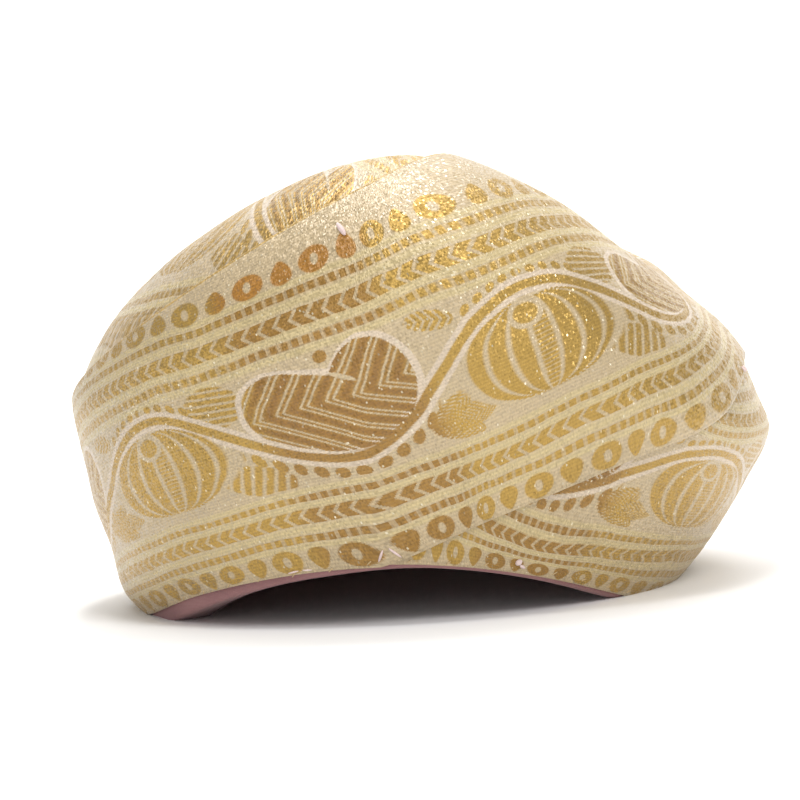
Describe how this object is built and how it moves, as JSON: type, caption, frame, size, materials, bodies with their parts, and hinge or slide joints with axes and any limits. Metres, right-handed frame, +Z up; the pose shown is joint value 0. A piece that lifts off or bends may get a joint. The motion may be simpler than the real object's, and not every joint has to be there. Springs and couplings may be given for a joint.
{
  "type": "peta turban",
  "caption": "Ready-made ceremonial turban of gold and cream zari brocade, its two wide wraps crossed over an arched brow, with a pleated crown and a cap lining.",
  "frame": {"origin": "middle of the bounding box in X and Y, at the height of the floor that the rim's two side lobes stand on", "axes": "+Z up, -Y towards the brow, +X towards the wearer's left ear"},
  "size_m": [0.243, 0.2578, 0.1593],
  "materials": {
    "front_brocade": "gold zari brocade with a cream ground, metallic sheen",
    "under_brocade": "gold zari brocade with a cream ground, metallic sheen",
    "crown_cloth": "soft cream silk with a low sheen",
    "lining": "matt mauve-pink cotton over stiffening"
  },
  "bodies": {
    "root": {"front_wrap": "front_brocade", "under_wrap": "under_brocade", "crown": "crown_cloth", "lining_cap": "lining"}
  },
  "joints": []
}
